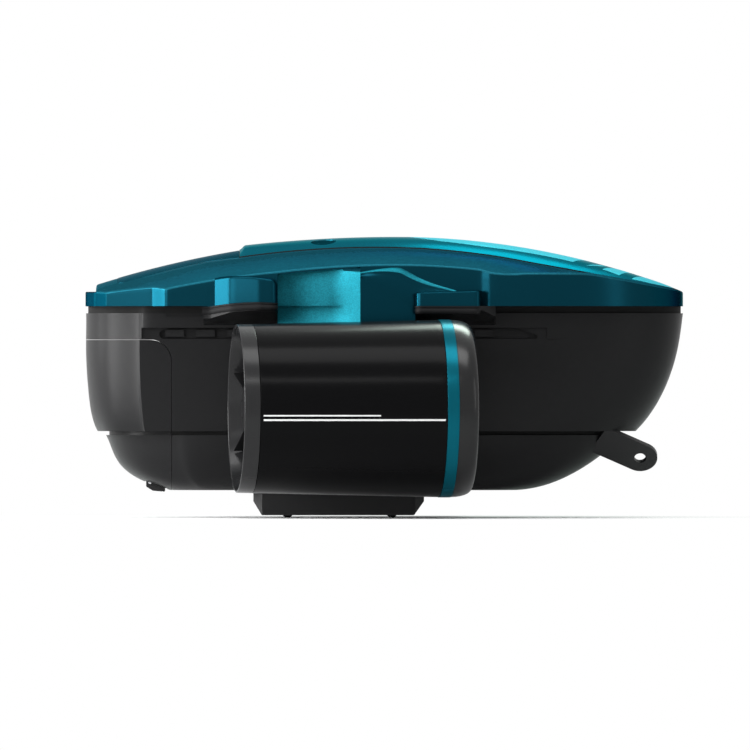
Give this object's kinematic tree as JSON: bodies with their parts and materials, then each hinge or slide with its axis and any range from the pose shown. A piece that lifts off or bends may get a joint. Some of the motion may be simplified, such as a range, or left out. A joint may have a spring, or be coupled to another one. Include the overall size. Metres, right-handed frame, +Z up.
{
  "type": "underwater scooter",
  "caption": "Board-shaped underwater scooter: crowned teal deck over a black hull, with a ducted thruster on a pylon at each side, a slide-out battery pack and tow eyes at the bow.",
  "frame": {"origin": "on the floor under the middle of the overall box; the scooter stands on the four dome-head screws of its bottom block", "axes": "+X forward, towards the intakes and the bow; +Y to port; +Z up"},
  "size_m": [0.54, 0.5134, 0.2538],
  "materials": {
    "teal_shell": "metallic teal lacquer with fine flake",
    "teal_ring": "metallic teal, satin",
    "teal_gloss": "smooth metallic teal, glossy",
    "pale_inlay": "pale cyan, glossy",
    "black_rubber": "matt",
    "silicone": "matt",
    "black_hull": "fine moulded texture, satin",
    "vent_plastic": "satin",
    "black_metal": "black coating, satin",
    "grey_plastic": "satin",
    "contact_brass": "plated",
    "cast_aluminium": "bead blasted",
    "circuit_board": "solder mask",
    "dark_lens": "smoked, polished",
    "cell_can": "sleeved",
    "steel": "ground",
    "button_plastic": "satin",
    "grey_ring": "dark grey, glossy",
    "gloss_black": "glossy black",
    "stator_plastic": "glossy",
    "copper_winding": "enamelled wire",
    "propeller_plastic": "glossy"
  },
  "bodies": {
    "hull": {"accent_ring_left": "teal_ring", "accent_ring_right": "teal_ring", "battery_bay": "grey_plastic", "bay_contacts": "contact_brass", "block_screws": "black_metal", "bottom_block": "black_hull", "bow_inlays": "pale_inlay", "control_board": "circuit_board", "crown_panel": "teal_gloss", "deck_cover": "teal_shell", "deck_gasket": "black_rubber", "duct_shell_left": "gloss_black", "duct_shell_right": "gloss_black", "front_bearing_left": "steel", "front_bearing_right": "steel", "hull_gasket": "black_rubber", "intake_guard_left": "black_hull", "intake_guard_right": "black_hull", "intake_lip_left": "gloss_black", "intake_lip_right": "gloss_black", "keel_plate": "black_hull", "lower_hull": "black_hull", "motor_cap_left": "cast_aluminium", "motor_cap_right": "cast_aluminium", "motor_controller": "cast_aluminium", "motor_windings_left": "copper_winding", "motor_windings_right": "copper_winding", "outlet_ring_left": "grey_ring", "outlet_ring_right": "grey_ring", "pylon_left": "teal_shell", "pylon_right": "teal_shell", "rear_bearing_left": "steel", "rear_bearing_right": "steel", "side_vent_left": "vent_plastic", "side_vent_right": "vent_plastic", "stator_left": "stator_plastic", "stator_right": "stator_plastic", "status_lens": "dark_lens", "switch_domes": "silicone", "tail_panel": "teal_gloss", "tow_eye_left": "black_metal", "tow_eye_right": "black_metal", "upper_hull": "black_hull"},
    "battery": {"battery_shell": "black_hull", "battery_cells": "cell_can", "battery_contacts": "contact_brass", "battery_seal": "black_rubber", "latch_pin": "steel"},
    "latch": {"battery_latch": "black_hull"},
    "power_button": {"power_button": "button_plastic"},
    "throttle_left": {"throttle_button_left": "button_plastic"},
    "throttle_right": {"throttle_button_right": "button_plastic"},
    "propulsor_left": {"propeller_shaft_left": "steel", "motor_rotor_left": "steel", "propeller_left": "propeller_plastic", "spinner_left": "propeller_plastic"},
    "propulsor_right": {"propeller_shaft_right": "steel", "motor_rotor_right": "steel", "propeller_right": "propeller_plastic", "spinner_right": "propeller_plastic"}
  },
  "joints": [
    {"name": "battery_slide", "type": "slide", "parent": "hull", "child": "battery", "axis": [-1, 0, 0], "range_m": [0, 0.21]},
    {"name": "latch_turn", "type": "hinge", "parent": "battery", "child": "latch", "pos_m": [-0.212, 0, 0.032], "axis": [0, 1, 0], "range_deg": [0, 30]},
    {"name": "power_press", "type": "slide", "parent": "hull", "child": "power_button", "axis": [0, 0, -1], "range_m": [0, 0.002], "stiffness_N_per_m": 800, "springref_m": -0.001},
    {"name": "throttle_press_left", "type": "slide", "parent": "hull", "child": "throttle_left", "axis": [0, 0, -1], "range_m": [0, 0.002], "stiffness_N_per_m": 800, "springref_m": -0.001},
    {"name": "throttle_press_right", "type": "slide", "parent": "hull", "child": "throttle_right", "axis": [0, 0, -1], "range_m": [0, 0.002], "stiffness_N_per_m": 800, "springref_m": -0.001},
    {"name": "propeller_spin_left", "type": "hinge", "parent": "hull", "child": "propulsor_left", "pos_m": [-0.03371, 0.17069, 0.0988], "axis": [0.9939, -0.1101, 0], "continuous": true},
    {"name": "propeller_spin_right", "type": "hinge", "parent": "hull", "child": "propulsor_right", "pos_m": [-0.03371, -0.17069, 0.0988], "axis": [0.9939, 0.1101, 0], "continuous": true}
  ]
}
